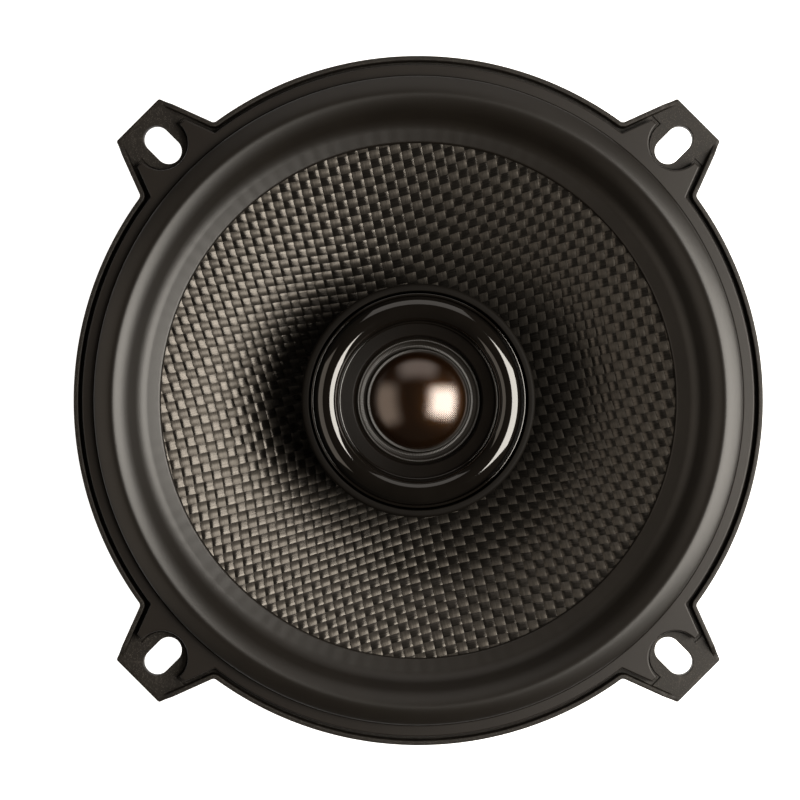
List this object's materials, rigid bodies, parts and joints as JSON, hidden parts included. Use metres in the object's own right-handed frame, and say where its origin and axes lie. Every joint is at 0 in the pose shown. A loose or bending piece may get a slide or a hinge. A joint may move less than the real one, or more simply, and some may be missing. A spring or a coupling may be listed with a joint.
{
  "type": "coaxial car speaker",
  "caption": "Round coaxial car speaker: eared cast basket, woven cone on a rubber roll, ferrite motor behind, and a soft dome tweeter on a central post.",
  "frame": {"origin": "centre of the yoke's back face, which the speaker stands on", "axes": "+Z along the speaker's axis, towards the listener; +Y towards the top of the picture; the terminals are on the -Y side"},
  "size_m": [0.13, 0.13, 0.0627],
  "materials": {
    "basket_powder_coat": "fine speckled dark grey powder coat",
    "gasket_rubber": "matte moulded rubber",
    "surround_rubber": "satin butyl rubber",
    "cone_weave": "plain-woven fibre tows in clear resin over a black backing",
    "spider_cloth": "resin-stiffened corrugated cloth",
    "ferrite": "ground dark ferrite",
    "zinc_plate": "bright zinc plating over turned steel",
    "screw_steel": "plated steel",
    "rivet_brass": "plain brass",
    "terminal_tin": "tinned brass strip and wire",
    "fibre_board": "dark phenolic fibre board",
    "capacitor_sleeve": "shrunk plastic sleeve",
    "wire_red": "extruded insulation",
    "wire_black": "extruded insulation",
    "tinsel_braid": "braided tinsel conductor",
    "coil_copper": "enamelled copper wire",
    "polyimide": "amber film",
    "housing_black": "fine matte moulded plastic",
    "bezel_gloss": "polished piano black",
    "ring_satin": "satin turned plastic",
    "dome_cloth": "coated fine woven fabric",
    "neodymium": "nickel-plated"
  },
  "bodies": {
    "frame": {"basket": "basket_powder_coat", "front_gasket": "gasket_rubber", "surround": "surround_rubber", "spider": "spider_cloth", "tinsel_lead_positive": "tinsel_braid", "tinsel_lead_negative": "tinsel_braid", "yoke": "zinc_plate", "magnet_ring": "ferrite", "top_plate": "zinc_plate", "terminal_board": "fibre_board", "terminal_blade_positive": "terminal_tin", "terminal_blade_negative": "terminal_tin", "terminal_rivet_positive": "rivet_brass", "terminal_rivet_negative": "rivet_brass", "board_screw_left": "screw_steel", "board_screw_right": "screw_steel", "crossover_capacitor": "capacitor_sleeve", "capacitor_lead_top": "terminal_tin", "capacitor_lead_bottom": "terminal_tin", "tweeter_post": "housing_black", "post_washer": "zinc_plate", "post_nut": "zinc_plate", "tweeter_lead_positive": "wire_red", "tweeter_lead_negative": "wire_black", "tweeter_housing": "housing_black", "tweeter_bezel": "bezel_gloss", "tweeter_face_ring": "ring_satin", "tweeter_yoke": "zinc_plate", "tweeter_magnet": "neodymium", "tweeter_pole_plate": "zinc_plate", "tweeter_surround": "dome_cloth", "motor_screw_1": "screw_steel", "motor_screw_2": "screw_steel", "motor_screw_3": "screw_steel", "motor_screw_4": "screw_steel"},
    "cone_assembly": {"cone": "cone_weave", "voice_coil_former": "polyimide", "voice_coil_winding": "coil_copper"},
    "dome_assembly": {"tweeter_dome": "dome_cloth", "tweeter_coil_former": "polyimide", "tweeter_coil_winding": "coil_copper"}
  },
  "joints": [
    {"name": "cone_travel", "type": "slide", "parent": "frame", "child": "cone_assembly", "axis": [0, 0, 1], "range_m": [-0.004, 0.004], "stiffness_N_per_m": 2300, "deforming": ["surround", "spider", "tinsel_lead_positive", "tinsel_lead_negative"]},
    {"name": "tweeter_dome_travel", "type": "slide", "parent": "frame", "child": "dome_assembly", "axis": [0, 0, 1], "range_m": [-0.0003, 0.0003], "stiffness_N_per_m": 60, "deforming": ["tweeter_surround"]}
  ]
}
